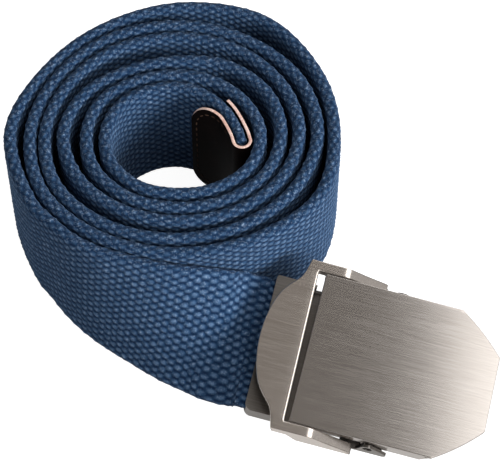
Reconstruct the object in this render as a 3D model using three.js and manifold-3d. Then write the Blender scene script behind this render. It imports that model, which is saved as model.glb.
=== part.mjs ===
// A rolled webbing work belt with a plate buckle, in millimetres, +Z up.
// The coil stands on the webbing's lower edge on the plane z = 0. +X points to the buckle's free end,
// +Y away from the buckle, and the origin is under the middle of the whole belt.

import * as THREE from 'three';
import { mergeVertices } from 'three/addons/utils/BufferGeometryUtils.js';
import Module from 'manifold-3d';

const wasm = await Module();
wasm.setup();

// Driving dimensions

const GAP = 0.3; // between touching pieces
const LAP = 0.1; // how far joined solids run into each other
const INSET = 0.02; // keeps a joined side wall just inside the sheet above it

const WEBBING = {
  width: 38,
  thickness: 3.6,
  edgeChamfer: 0.8,
  tipThickness: 3.0, // where the leather squeezes it
  tipTaper: 30, // length over which it thins
  step: 4.2, // between two sections along its length
};

// The middle of the coil's hole
const COIL = { x: -21.0, y: 20.46 };

// Outer stretch, from the buckle back along the coil's front: its middle line seen from above, from the
// hole's middle, how far its face leans back, and how far its lower edge is lifted off the ground.
const RUN_ROWS = [
  { x: 14.4, y: -56.3, lean: 48.5, lift: 1.6 },
  { x: 8.5, y: -55.2, lean: 37.5, lift: 0.5 },
  { x: 2.7, y: -54.1, lean: 29.5, lift: 0.1 },
  { x: -3.1, y: -52.6, lean: 22.5, lift: 0 },
  { x: -9.1, y: -50.4, lean: 17, lift: 0 },
  { x: -15.4, y: -47.6, lean: 12.5, lift: 0 },
  { x: -21.8, y: -44.2, lean: 8, lift: 0 },
  { x: -28.8, y: -38.8, lean: 3.8, lift: 0 },
  { x: -35.0, y: -31.8, lean: 1.2, lift: 0 },
  { x: -40.0, y: -25.3, lean: 0, lift: 0 },
];

// Radius of the webbing's middle line in each direction from the hole's middle, in degrees
// counterclockwise from +X, one row for each turn. The outermost turn starts where the run ends.
const DIRECTIONS = [330, 300, 270, 240, 210, 180, 150, 120, 90, 60, 30, 0];
const TURN_RADII = [
  [null, null, null, null, null, 47.6, 45.1, 45.8, 48.5, 50.4, 47.3, 46.0],
  [46.5, 42.9, 42.0, 42.3, 42.8, 41.7, 40.8, 41.3, 41.3, 40.9, 41.3, 41.2],
  [39.6, 38.0, 37.4, 37.9, 38.5, 37.5, 36.4, 36.6, 36.5, 36.2, 35.8, 35.9],
  [34.8, 33.1, 31.6, 31.3, 31.9, 32.2, 30.2, 27.4, 27.2, 29.4, 30.5, 30.6],
  [30.1, 28.5, 26.9, 26.6, 26.4, 25.5, 24.6, 22.6, 21.8, 22.1, 23.0, 24.6],
  [24.95, 23.4, 22.0, 21.8, 21.2, 20.0, 19.1, 17.9, 17.1, 16.4, 16.5, 18.3],
];
// The buckle presses on the two turns behind it, so their upper edges stand out in the first directions.
const TURN_LEANS = { 1: [-2, -4, -2], 2: [-1, -2, -1] };

const WEBBING_END = { x: 19.3, y: -3.6 };

const LEATHER = {
  thickness: 1.0,
  height: 37.4,
  seat: 0.45, // between the leather and the webbing inside it
  innerFlap: 23, // length of the flap toward the hole
  outerFlap: 15,
  flapRadius: 9, // rounds the inner flap's end
  liftOff: 2.4, // the inner flap's end stands this far off the webbing
  liftLength: 13,
  bluntEnd: 0.4, // the rounded end is cut off this far from its tip
  bendSteps: 8,
  step: 1.25,
};

// The buckle has its own axes: x along it to the free end, y across it, z out of its face. Its origin is
// the middle of the cover plate's left edge, on the face.
const BUCKLE = { x: 38.1, y: -62.9, z: 20.6, yaw: -11.8, pitch: -9.0, roll: 75 };

const COVER = {
  leftNear: -0.7, // its left edge runs a little askew
  leftFar: -0.2,
  length: 52.5,
  width: 43.9,
  sheet: 1.4,
  bevel: 0.35,
  cutLength: 12.9, // of the two cut corners
  cutWidth: 11.0,
  cutBulge: 0.8,
  flange: 1.0,
  flangeShallow: 2.9, // depth under the face beside the arms
  flangeDeep: 5.1, // and beyond the ears
  flangeStepStart: 23.5,
  flangeStepEnd: 26.5,
  flangeEnd: 37,
  flangeTip: 39, // it ends in a slope up to here
};

const PIN = { x: 22.3, depth: 4.4, radius: 1.0, bore: 1.3, recess: 0.2 };

const CAM = { radius: 1.9, lug: 2.2, nose: 3.2, noseWidth: 1.5, halfLength: 18, web: 1.5 };

const FRAME = {
  rightNear: -1.9, // the crest's straight right edge
  rightFar: -2.4,
  sheet: 1.7,
  bevel: 0.3,
  armInner: COVER.width / 2 + 0.4,
  armOuter: 25.2,
};

// Side view of an arm, clockwise from under the crest: its top drops away, its underside stays level
const ARM_ROWS = [
  { along: -4.75, height: -0.3 },
  { along: -1.7, height: -0.3 },
  { along: -1.7, height: 0 },
  { along: 6, height: 0 },
  { along: 11, height: -2.3 },
  { along: 17.8, height: -4.9 },
  { along: 17.8, height: -6.8 },
  { along: 2.6, height: -6.8 },
  { along: -0.6, height: -3.3 },
  { along: -4.75, height: -3.2 },
];

// Half of the crest's wavy left edge, from its middle to its corner
const CREST_ROWS = [
  { across: 0, along: -14.2 },
  { across: 4, along: -14.0 },
  { across: 8, along: -13.3 },
  { across: 11.2, along: -12.4 },
  { across: 13.8, along: -11.3 },
  { across: 16.2, along: -9.7 },
  { across: 17.8, along: -8.1 },
  { across: 19.2, along: -6.8 },
  { across: 21.2, along: -6.0 },
  { across: 25.2, along: -5.1 },
];

const CREST_STEPS = 48; // along the whole wavy edge

const CHANNEL = {
  left: -13.2,
  frontRight: -2.5, // the box's front wall ends here
  sideRight: -1.5, // its side walls drop to a lip here, clear of the cover's swing
  wall: 0.9,
  lip: 1.4,
  trayEnd: 24.5,
  slopeStart: 2,
  slopeEnd: 13,
  trayDepth: 10.3, // of the tray's underside, under the cam
  wingStart: 14.5,
  wingTop: 7.1, // under the frame's arms
  wingSheet: 0.9,
  wingReach: 24.8, // of the wings under the arms, from the middle
  armWingEnd: 18.2,
  earStart: 19,
  earEnd: 27.8,
  earShoulder: 1.3, // height of the ear's low end over the wing
  earCorner: 1.2, // rounds its lower right corner
  ear: 0.8,
  earRound: 2.0,
  earRoundStart: 50,
  earRoundEnd: 170,
  cornerNear: 2.2, // radius of the box's two left corners
  cornerFar: 0.8,
};
const STRAP_DEPTH = 9.3; // of the webbing's middle inside the box
const STRAP_END = -3.5; // the webbing ends here, inside the box
const ENTRY = { x: -14.2, turn: 3, lean: 68.5 }; // from here the webbing turns out of the buckle's plane

const MATERIALS = {
  webbing: new THREE.MeshStandardMaterial({ color: 0x2c4a73, roughness: 0.95, metalness: 0 }),
  leather: new THREE.MeshStandardMaterial({ color: 0x2a1712, roughness: 0.6, metalness: 0 }),
  brushed: new THREE.MeshStandardMaterial({ color: 0xa39b94, roughness: 0.35, metalness: 1 }),
  steel: new THREE.MeshStandardMaterial({ color: 0x77736f, roughness: 0.4, metalness: 1 }),
};

const UP = new THREE.Vector3(0, 0, 1);
const rad = THREE.MathUtils.degToRad;

// Solids

/** A closed solid from a geometry, for joining and cutting. */
function toSolid(geometry) {
  const bare = geometry.clone();
  bare.deleteAttribute('normal');
  bare.deleteAttribute('uv');
  const merged = mergeVertices(bare, 1e-4);
  return new wasm.Manifold(new wasm.Mesh({
    numProp: 3,
    vertProperties: new Float32Array(merged.attributes.position.array),
    triVerts: new Uint32Array(merged.index.array),
  }));
}

/** The geometry of a joined or cut solid. */
function toGeometry(solid) {
  const mesh = solid.getMesh();
  const geometry = new THREE.BufferGeometry();
  geometry.setAttribute('position', new THREE.BufferAttribute(new Float32Array(mesh.vertProperties), 3));
  geometry.setIndex(new THREE.BufferAttribute(new Uint32Array(mesh.triVerts), 1));
  geometry.computeVertexNormals();
  return geometry;
}

/** A solid joined from several. */
function join(...solids) {
  return solids.reduce((sum, solid) => sum.add(solid));
}

/** A plate whose outline lies in the face's plane, from one height to another. */
function plate(shape, bottom, top, bevel = 0) {
  const geometry = new THREE.ExtrudeGeometry(shape, {
    depth: top - bottom - 2 * bevel,
    bevelEnabled: bevel > 0,
    bevelThickness: bevel,
    bevelSize: bevel,
    bevelOffset: -bevel,
    bevelSegments: 2,
    curveSegments: 10,
  });
  geometry.translate(0, 0, bottom + bevel);
  return toSolid(geometry);
}

/** A bar across the buckle whose side view is the shape, between two places across. */
function bar(shape, from, to) {
  const depth = to - from;
  const geometry = new THREE.ExtrudeGeometry(shape, { depth, bevelEnabled: false, curveSegments: 16 });
  geometry.rotateX(Math.PI / 2);
  geometry.translate(0, to, 0);
  return toSolid(geometry);
}

/** The same bar on both sides of the buckle, between two distances from its middle. */
function bothSides(shape, inner, outer) {
  return join(bar(shape, inner, outer), bar(shape, -outer, -inner));
}

/** A closed outline through points given as pairs. */
function outline(points) {
  return new THREE.Shape(points.map(([x, y]) => new THREE.Vector2(x, y)));
}

/** A round outline. */
function disc(x, y, radius) {
  return new THREE.Shape().absarc(x, y, radius, 0, 2 * Math.PI);
}

/** A solid swept through rings of equally many points, each ring convex and counterclockwise. */
function loft(rings) {
  const count = rings[0].length;
  const positions = rings.flat().flatMap((point) => point.toArray());
  const index = [];
  for (let i = 0; i < rings.length - 1; i += 1) {
    for (let j = 0; j < count; j += 1) {
      const a = i * count + j;
      const b = i * count + ((j + 1) % count);
      index.push(a, b, b + count, a, b + count, a + count);
    }
  }
  const last = (rings.length - 1) * count;
  for (let j = 1; j < count - 1; j += 1) {
    index.push(0, j + 1, j);
    index.push(last, last + j, last + j + 1);
  }
  const geometry = new THREE.BufferGeometry();
  geometry.setAttribute('position', new THREE.Float32BufferAttribute(positions, 3));
  geometry.setIndex(index);
  geometry.computeVertexNormals();
  return geometry;
}

// Webbing

/** The buckle's own axes as a matrix, from its heading, its slope and the turn of its face. */
function buckleMatrix() {
  const { yaw, pitch, roll } = BUCKLE;
  const along = new THREE.Vector3(
    Math.cos(rad(pitch)) * Math.cos(rad(yaw)),
    Math.cos(rad(pitch)) * Math.sin(rad(yaw)),
    Math.sin(rad(pitch)),
  );
  const toFront = new THREE.Vector3(Math.sin(rad(yaw)), -Math.cos(rad(yaw)), 0);
  const upward = new THREE.Vector3().crossVectors(along, toFront).negate();
  const face = toFront.clone().multiplyScalar(Math.cos(rad(roll)));
  face.addScaledVector(upward.z > 0 ? upward : upward.negate(), Math.sin(rad(roll)));
  const across = new THREE.Vector3().crossVectors(face, along);
  return new THREE.Matrix4()
    .makeBasis(along, across, face)
    .setPosition(COIL.x + BUCKLE.x, COIL.y + BUCKLE.y, BUCKLE.z);
}

/** Places that the webbing's middle line goes through, from the buckle inward, with the lean at each. */
function webbingRows() {
  const { width, thickness } = WEBBING;
  const matrix = buckleMatrix();
  const inBox = (x) => ({
    point: new THREE.Vector3(x, 0, -STRAP_DEPTH).applyMatrix4(matrix),
    lean: BUCKLE.roll,
  });
  const rows = [inBox(STRAP_END), inBox((STRAP_END + ENTRY.x) / 2), inBox(ENTRY.x)];
  rows.push({ ...inBox(ENTRY.x - ENTRY.turn), lean: ENTRY.lean });
  for (const { x, y, lean, lift } of RUN_ROWS) {
    const height = lift + (width / 2) * Math.cos(rad(lean)) + (thickness / 2) * Math.sin(rad(lean));
    rows.push({ point: new THREE.Vector3(COIL.x + x, COIL.y + y, height), lean });
  }
  TURN_RADII.forEach((radii, turn) => {
    DIRECTIONS.forEach((direction, column) => {
      const radius = radii[column];
      if (radius === null) return;
      const x = COIL.x + radius * Math.cos(rad(direction));
      const y = COIL.y + radius * Math.sin(rad(direction));
      rows.push({ point: new THREE.Vector3(x, y, width / 2), lean: TURN_LEANS[turn]?.[column] ?? 0 });
    });
  });
  rows.push({ point: new THREE.Vector3(COIL.x + WEBBING_END.x, COIL.y + WEBBING_END.y, width / 2), lean: 0 });
  return rows;
}

/** The webbing's middle line, with its frame and thickness at any distance from the buckle. */
class WebbingLine {
  constructor() {
    const rows = webbingRows();
    this.curve = new THREE.CatmullRomCurve3(rows.map((row) => row.point), false, 'centripetal');
    this.curve.arcLengthDivisions = 4000;
    this.leans = rows.map((row) => row.lean);
    this.length = this.curve.getLength();
  }

  /** Lean at a place of the curve, eased from row to row. */
  leanAt(t) {
    const place = t * (this.leans.length - 1);
    const row = Math.min(Math.floor(place), this.leans.length - 2);
    return THREE.MathUtils.lerp(this.leans[row], this.leans[row + 1], place - row);
  }

  /** Middle point, directions along, across and outward, and thickness at a distance. */
  at(distance) {
    const t = this.curve.getUtoTmapping(0, THREE.MathUtils.clamp(distance, 0, this.length));
    const along = this.curve.getTangent(t);
    const outwardLevel = new THREE.Vector3(-along.y, along.x, 0).normalize();
    const upward = UP.clone().addScaledVector(along, -along.z).normalize();
    const lean = rad(this.leanAt(t));
    const across = upward.multiplyScalar(Math.cos(lean)).addScaledVector(outwardLevel, -Math.sin(lean));
    const outward = new THREE.Vector3().crossVectors(across, along);
    const thinning = THREE.MathUtils.smoothstep(distance, this.length - WEBBING.tipTaper, this.length);
    const thickness = THREE.MathUtils.lerp(WEBBING.thickness, WEBBING.tipThickness, thinning);
    return { point: this.curve.getPoint(t), along, across, outward, thickness };
  }
}

const line = new WebbingLine();

/** A point of a section, from its middle, outward and across. */
function offset(section, outward, across) {
  return section.point.clone()
    .addScaledVector(section.outward, outward)
    .addScaledVector(section.across, across);
}

/** The webbing: an eight sided section swept from the buckle to the middle of the coil. */
function webbingStrap() {
  const half = WEBBING.width / 2;
  const chamfer = WEBBING.edgeChamfer;
  const straight = STRAP_END - ENTRY.x;
  const steps = Math.round((line.length - straight) / WEBBING.step);
  const rings = [];
  for (let i = -2; i <= steps; i += 1) {
    const distance = i < 0 ? (straight * (i + 2)) / 2 : straight + ((line.length - straight) * i) / steps;
    const section = line.at(distance);
    const face = section.thickness / 2;
    const corners = [
      [face, half - chamfer],
      [face - chamfer, half],
      [-face + chamfer, half],
      [-face, half - chamfer],
      [-face, -half + chamfer],
      [-face + chamfer, -half],
      [face - chamfer, -half],
      [face, -half + chamfer],
    ];
    rings.push(corners.map(([outward, across]) => offset(section, outward, across)));
  }
  return loft(rings);
}

/** The leather tip: a sheet folded over the webbing's end, its flap toward the hole ending round. */
function leatherTip() {
  const { thickness, innerFlap, outerFlap, flapRadius, bluntEnd, bendSteps, step } = LEATHER;
  const liftStart = innerFlap - LEATHER.liftLength;
  const seat = LEATHER.seat + thickness / 2;
  const reach = WEBBING.tipThickness / 2 + seat;
  const end = line.at(line.length);
  const sheet = [];
  const innerSteps = Math.round(innerFlap / step);
  for (let i = 0; i < innerSteps; i += 1) {
    const back = innerFlap * (1 - i / innerSteps);
    const section = line.at(line.length - back);
    const lift = LEATHER.liftOff * THREE.MathUtils.smoothstep(back, liftStart, innerFlap);
    const side = section.thickness / 2 + seat;
    sheet.push({ middle: offset(section, -side - lift, 0), round: innerFlap - back });
  }
  for (let i = 0; i <= bendSteps; i += 1) {
    const angle = (Math.PI * i) / bendSteps;
    const middle = end.point.clone()
      .addScaledVector(end.outward, -reach * Math.cos(angle))
      .addScaledVector(end.along, reach * Math.sin(angle));
    sheet.push({ middle, round: flapRadius });
  }
  const outerSteps = Math.round(outerFlap / step);
  for (let i = 1; i <= outerSteps; i += 1) {
    const section = line.at(line.length - (outerFlap * i) / outerSteps);
    const side = section.thickness / 2 + seat;
    sheet.push({ middle: offset(section, side, 0), round: flapRadius });
  }
  const rings = sheet.map(({ middle, round }, i) => {
    const before = sheet[Math.max(i - 1, 0)].middle;
    const after = sheet[Math.min(i + 1, sheet.length - 1)].middle;
    const along = after.clone().sub(before).normalize();
    const side = new THREE.Vector3().crossVectors(UP, along);
    const inset = flapRadius - Math.min(round + bluntEnd, flapRadius);
    const cut = flapRadius - Math.sqrt(flapRadius ** 2 - inset ** 2);
    const half = LEATHER.height / 2 - cut;
    const at = (across, up) => middle.clone().addScaledVector(side, across).addScaledVector(UP, up);
    return [
      at(thickness / 2, half),
      at(-thickness / 2, half),
      at(-thickness / 2, -half),
      at(thickness / 2, -half),
    ];
  });
  return loft(rings);
}

// Buckle

/** The cover's outline: square on the left, two cut corners on the right with slightly bowed cuts. */
function coverOutline() {
  const { leftNear, leftFar, length, width, cutLength, cutWidth, cutBulge } = COVER;
  const half = width / 2;
  const bow = (x, y) => [x + cutBulge * cutWidth / 12, y + cutBulge * cutLength / 12 * Math.sign(y)];
  const middle = bow(length - cutLength / 2, half - cutWidth / 2);
  const shape = new THREE.Shape();
  shape.moveTo(leftNear, -half);
  shape.lineTo(length - cutLength, -half);
  shape.quadraticCurveTo(middle[0], -middle[1], length, -half + cutWidth);
  shape.lineTo(length, half - cutWidth);
  shape.quadraticCurveTo(middle[0], middle[1], length - cutLength, half);
  shape.lineTo(leftFar, half);
  shape.closePath();
  return shape;
}

/** The cover plate with its side flanges, the lugs round the pin and the cam that presses the webbing. */
function coverPlate() {
  const { width, sheet, bevel, flange, flangeShallow, flangeDeep } = COVER;
  const { flangeStepStart, flangeStepEnd, flangeEnd, flangeTip } = COVER;
  const half = width / 2;
  const top = plate(coverOutline(), -sheet, 0, bevel);
  const flangeSide = outline([
    [bevel, -sheet / 2],
    [bevel, -flangeShallow],
    [flangeStepStart, -flangeShallow],
    [flangeStepEnd, -flangeDeep],
    [flangeEnd, -flangeDeep],
    [flangeTip, -sheet / 2],
  ]);
  const flanges = bothSides(flangeSide, half - flange, half - INSET);
  const lugs = bothSides(disc(PIN.x, -PIN.depth, CAM.lug), half - flange, half - INSET);
  const web = outline([
    [PIN.x - CAM.web, -sheet / 2],
    [PIN.x - CAM.web, -PIN.depth],
    [PIN.x + CAM.web, -PIN.depth],
    [PIN.x + CAM.web, -sheet / 2],
  ]);
  const nose = outline([
    [PIN.x - CAM.noseWidth, -PIN.depth],
    [PIN.x - CAM.noseWidth / 2, -PIN.depth - CAM.nose],
    [PIN.x + CAM.noseWidth / 2, -PIN.depth - CAM.nose],
    [PIN.x + CAM.noseWidth, -PIN.depth],
  ]);
  const cam = join(
    bar(web, -CAM.halfLength, CAM.halfLength),
    bar(disc(PIN.x, -PIN.depth, CAM.radius), -CAM.halfLength, CAM.halfLength),
    bar(nose, -CAM.halfLength, CAM.halfLength),
  );
  const bore = bar(disc(PIN.x, -PIN.depth, PIN.bore), -width, width);
  return toGeometry(join(top, flanges, lugs, cam).subtract(bore));
}

/** The frame: the crest and the two arms that drop away beside the cover. */
function buckleFrame() {
  const { rightNear, rightFar, sheet, bevel, armInner, armOuter } = FRAME;
  const half = CREST_ROWS.map(({ across, along }) => new THREE.Vector2(along, across));
  const mirrored = half.slice(1).map(({ x, y }) => new THREE.Vector2(x, -y));
  const leftEdge = new THREE.SplineCurve([...half].reverse().concat(mirrored)).getPoints(CREST_STEPS);
  const corners = [new THREE.Vector2(rightNear, -armOuter), new THREE.Vector2(rightFar, armOuter)];
  const crest = new THREE.Shape(corners.concat(leftEdge));
  const arm = outline(ARM_ROWS.map(({ along, height }) => [along, height]));
  return toGeometry(join(plate(crest, -sheet, 0, bevel), bothSides(arm, armInner, armOuter - INSET)));
}

/** The box that holds the webbing's end, with its tray, the wings under the arms, and the pin's ears. */
function buckleChannel() {
  const { left, frontRight, sideRight, wall, lip, trayEnd, slopeStart, slopeEnd, trayDepth } = CHANNEL;
  const { wingStart, wingTop, wingSheet, wingReach, armWingEnd, cornerNear, cornerFar } = CHANNEL;
  const { earStart, earEnd, earShoulder, earCorner, ear } = CHANNEL;
  const { earRound, earRoundStart, earRoundEnd } = CHANNEL;
  const halfInside = WEBBING.width / 2 + GAP;
  const halfOutside = halfInside + wall;
  const clear = WEBBING.thickness / 2 + GAP;
  const front = STRAP_DEPTH - clear - wall;
  const back = STRAP_DEPTH + clear + wall;
  const earInner = COVER.width / 2 + GAP;

  const floor = outline([
    [left, -back],
    [slopeStart, -back],
    [slopeEnd, -trayDepth],
    [trayEnd, -trayDepth],
    [trayEnd, -trayDepth + wall],
    [slopeEnd, -trayDepth + wall],
    [slopeStart, -back + wall],
    [left, -back + wall],
  ]);
  const side = outline([
    [left, -back + LAP],
    [slopeStart, -back + LAP],
    [slopeEnd, -trayDepth + LAP],
    [trayEnd, -trayDepth + LAP],
    [trayEnd, -wingTop - LAP],
    [wingStart, -wingTop - LAP],
    [slopeStart, -back + lip],
    [sideRight, -back + lip],
    [sideRight, -front - LAP],
    [left, -front - LAP],
  ]);
  const frontWall = outline([
    [left, -front - wall],
    [frontRight, -front - wall],
    [frontRight, -front],
    [left, -front],
  ]);
  const wing = (end, reach) => join(...[-1, 1].map((side) => {
    const inner = (halfInside + LAP) * side;
    const shape = outline([[wingStart, inner], [end, inner], [end, reach * side], [wingStart, reach * side]]);
    return plate(shape, -wingTop - wingSheet, -wingTop);
  }));
  const earFoot = -wingTop - wingSheet;
  const earSide = new THREE.Shape();
  earSide.moveTo(earStart, earFoot);
  earSide.lineTo(earEnd - earCorner, earFoot);
  earSide.quadraticCurveTo(earEnd, earFoot, earEnd, earFoot + earCorner);
  earSide.lineTo(earEnd, -wingTop + earShoulder);
  earSide.absarc(PIN.x, -PIN.depth, earRound, rad(earRoundStart), rad(earRoundEnd));
  earSide.closePath();
  const ears = bothSides(earSide, earInner, earInner + ear);
  const bore = bar(disc(PIN.x, -PIN.depth, PIN.bore), -COVER.width, COVER.width);

  const body = join(
    bar(floor, -halfOutside, halfOutside),
    bothSides(side, halfInside, halfOutside),
    bar(frontWall, -halfOutside, halfOutside),
    wing(armWingEnd, wingReach),
    wing(earEnd - earCorner, earInner + ear),
    ears,
  );
  const keep = new THREE.Shape();
  const reach = 2 * halfOutside;
  keep.moveTo(left + cornerNear, -halfOutside);
  keep.absarc(left + cornerNear, -halfOutside + cornerNear, cornerNear, rad(270), rad(180), true);
  keep.absarc(left + cornerFar, halfOutside - cornerFar, cornerFar, rad(180), rad(90), true);
  keep.lineTo(left + cornerFar, reach);
  keep.lineTo(reach, reach);
  keep.lineTo(reach, -reach);
  keep.lineTo(left + cornerNear, -reach);
  keep.closePath();
  return toGeometry(body.intersect(plate(keep, -2 * back, 0)).subtract(bore));
}

/** The pin through the ears and the cam. */
function hingePin() {
  const half = COVER.width / 2 + GAP + CHANNEL.ear - PIN.recess;
  const geometry = new THREE.CylinderGeometry(PIN.radius, PIN.radius, 2 * half, 20);
  geometry.translate(PIN.x, 0, -PIN.depth);
  return geometry;
}

// The belt

/** A named mesh. */
function piece(name, geometry, material) {
  const mesh = new THREE.Mesh(geometry, material);
  mesh.name = name;
  return mesh;
}

const buckle = new THREE.Group();
buckle.applyMatrix4(buckleMatrix());
buckle.add(piece('buckle_channel', buckleChannel(), MATERIALS.steel));
buckle.add(piece('buckle_frame', buckleFrame(), MATERIALS.brushed));
buckle.add(piece('cover_plate', coverPlate(), MATERIALS.brushed));
buckle.add(piece('hinge_pin', hingePin(), MATERIALS.steel));

const belt = new THREE.Group();
belt.add(piece('webbing_strap', webbingStrap(), MATERIALS.webbing));
belt.add(piece('leather_tip', leatherTip(), MATERIALS.leather));
belt.add(buckle);

export default belt;
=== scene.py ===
"""Blender scene of a rolled webbing work belt with a plate buckle, on a plain pale floor."""

import logging
import math
from dataclasses import dataclass, field
from enum import Enum

import bmesh
import bpy
import numpy as np
from mathutils import Euler, Matrix, Vector


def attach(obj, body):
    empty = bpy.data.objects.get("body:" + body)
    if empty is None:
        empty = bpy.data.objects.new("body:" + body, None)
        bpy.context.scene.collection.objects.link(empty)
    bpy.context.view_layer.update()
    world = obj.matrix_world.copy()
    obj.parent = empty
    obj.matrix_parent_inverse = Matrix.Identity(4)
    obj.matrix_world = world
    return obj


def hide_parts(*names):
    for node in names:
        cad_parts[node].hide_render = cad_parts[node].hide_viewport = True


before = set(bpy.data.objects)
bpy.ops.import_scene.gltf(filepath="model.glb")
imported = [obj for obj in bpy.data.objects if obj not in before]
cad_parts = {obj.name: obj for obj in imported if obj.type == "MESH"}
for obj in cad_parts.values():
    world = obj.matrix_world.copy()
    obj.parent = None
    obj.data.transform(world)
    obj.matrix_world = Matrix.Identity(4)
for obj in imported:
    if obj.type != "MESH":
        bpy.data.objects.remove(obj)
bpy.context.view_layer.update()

MM = 0.001
LOG = logging.getLogger("work_belt")

Colour = tuple[float, float, float]
Place = tuple[float, float, float]
Outline = list[tuple[float, float]]
WHITE: Colour = (1.0, 1.0, 1.0)
FLAT = 1e-4
SLACK = 0.1


class Space(Enum):
    """Which coordinates a finish reads."""

    OBJECT = "Object"
    UV = "UV"


class Body(Enum):
    """The bodies that pieces ride on."""

    BELT = "belt"
    COVER = "cover"


def smoothstep(value: np.ndarray, low: float, high: float) -> np.ndarray:
    """Eased 0 to 1 between two values."""
    place = np.clip((value - low) / (high - low), 0.0, 1.0)
    return place * place * (3.0 - 2.0 * place)


def linear(red: int, green: int, blue: int) -> Colour:
    """Scene colour of a screen colour given as 0 to 255."""
    def channel(value: int) -> float:
        share = value / 255.0
        return share / 12.92 if share <= 0.04045 else ((share + 0.055) / 1.055) ** 2.4

    return channel(red), channel(green), channel(blue)


def add_object(name: str, data: bpy.types.ID) -> bpy.types.Object:
    """A new object in the scene, at the origin."""
    thing = bpy.data.objects.new(name, data)
    bpy.context.scene.collection.objects.link(thing)
    return thing


def finish_mesh(bm: bmesh.types.BMesh, name: str, smooth: bool = True) -> bpy.types.Object:
    """Makes an object at the origin from a bmesh, with its faces pointing outward.

    Args:
        bm: the bmesh, in metres in the row frame; it is freed.
        name: the object's name.
        smooth: whether its faces are shaded smooth.

    Returns:
        The new object, linked to the scene.
    """
    bmesh.ops.recalc_face_normals(bm, faces=bm.faces)
    for face in bm.faces:
        face.smooth = smooth
    mesh = bpy.data.meshes.new(name)
    bm.to_mesh(mesh)
    bm.free()
    return add_object(name, mesh)


def set_values(node: bpy.types.Node, values: dict[str, object]) -> None:
    """Sets a node's unlinked inputs by name."""
    for name, value in values.items():
        node.inputs[name].default_value = value


@dataclass
class NodeSheet:
    """Adds nodes to a material's or a group's tree with less writing."""

    tree: bpy.types.NodeTree

    def add(self, kind: str, **settings: object) -> bpy.types.Node:
        """A node of a kind with properties set by name."""
        node = self.tree.nodes.new(kind)
        for key, value in settings.items():
            setattr(node, key, value)
        return node

    def link(self, source: object, target: object) -> None:
        """Joins an output to an input."""
        self.tree.links.new(source, target)

    def feed(self, socket: object, value: object) -> None:
        """Sets an input to a number, a vector or another node's output."""
        if isinstance(value, bpy.types.NodeSocket):
            self.link(value, socket)
        else:
            socket.default_value = value

    def math(self, operation: str, first: object, second: object = 0.0, clamp: bool = False) -> object:
        """Output of a Math node."""
        node = self.add("ShaderNodeMath", operation=operation, use_clamp=clamp)
        self.feed(node.inputs[0], first)
        self.feed(node.inputs[1], second)
        return node.outputs[0]

    def plus(self, first: object, second: object, clamp: bool = False) -> object:
        """Sum of two values."""
        return self.math("ADD", first, second, clamp)

    def minus(self, first: object, second: object) -> object:
        """Difference of two values."""
        return self.math("SUBTRACT", first, second)

    def times(self, first: object, second: object, clamp: bool = False) -> object:
        """Product of two values."""
        return self.math("MULTIPLY", first, second, clamp)

    def combine(self, *values: object) -> object:
        """Vector made from up to three values."""
        node = self.add("ShaderNodeCombineXYZ")
        for socket, value in zip(node.inputs, values):
            self.feed(socket, value)
        return node.outputs[0]

    def split(self, vector: object) -> object:
        """A vector's X, Y and Z, by name."""
        node = self.add("ShaderNodeSeparateXYZ")
        self.link(vector, node.inputs[0])
        return node.outputs

    def vector(self, operation: str, first: object, second: object) -> object:
        """Vector output of a Vector Math node."""
        node = self.add("ShaderNodeVectorMath", operation=operation)
        self.feed(node.inputs[0], first)
        self.feed(node.inputs[1], second)
        return node.outputs[0]

    def noise(self, vector: object, scale: float, detail: float = 2.0, roughness: float = 0.5) -> object:
        """Factor of a Noise Texture."""
        node = self.add("ShaderNodeTexNoise")
        self.feed(node.inputs["Vector"], vector)
        set_values(node, {"Scale": scale, "Detail": detail, "Roughness": roughness})
        return node.outputs["Fac"]

    def ramp(self, value: object, low: float, high: float,
             to_low: float = 0.0, to_high: float = 1.0) -> object:
        """Value eased from one range to another, held at its ends."""
        node = self.add("ShaderNodeMapRange", interpolation_type="SMOOTHSTEP")
        self.feed(node.inputs["Value"], value)
        set_values(node, {"From Min": low, "From Max": high, "To Min": to_low, "To Max": to_high})
        return node.outputs["Result"]

    def mix(self, factor: object, first: object, second: object) -> object:
        """Colour mixed from two colours."""
        node = self.add("ShaderNodeMix", data_type="RGBA")
        for socket, value in zip((node.inputs[0], node.inputs[6], node.inputs[7]), (factor, first, second)):
            if isinstance(value, tuple):
                value = (*value, 1.0)
            self.feed(socket, value)
        return node.outputs[2]

    def place(self, space: Space, uv_map: str = "") -> object:
        """Object coordinates, or a UV map of the piece."""
        if space is Space.UV:
            return self.add("ShaderNodeUVMap", uv_map=uv_map).outputs["UV"]
        return self.add("ShaderNodeTexCoord").outputs["Object"]


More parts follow.
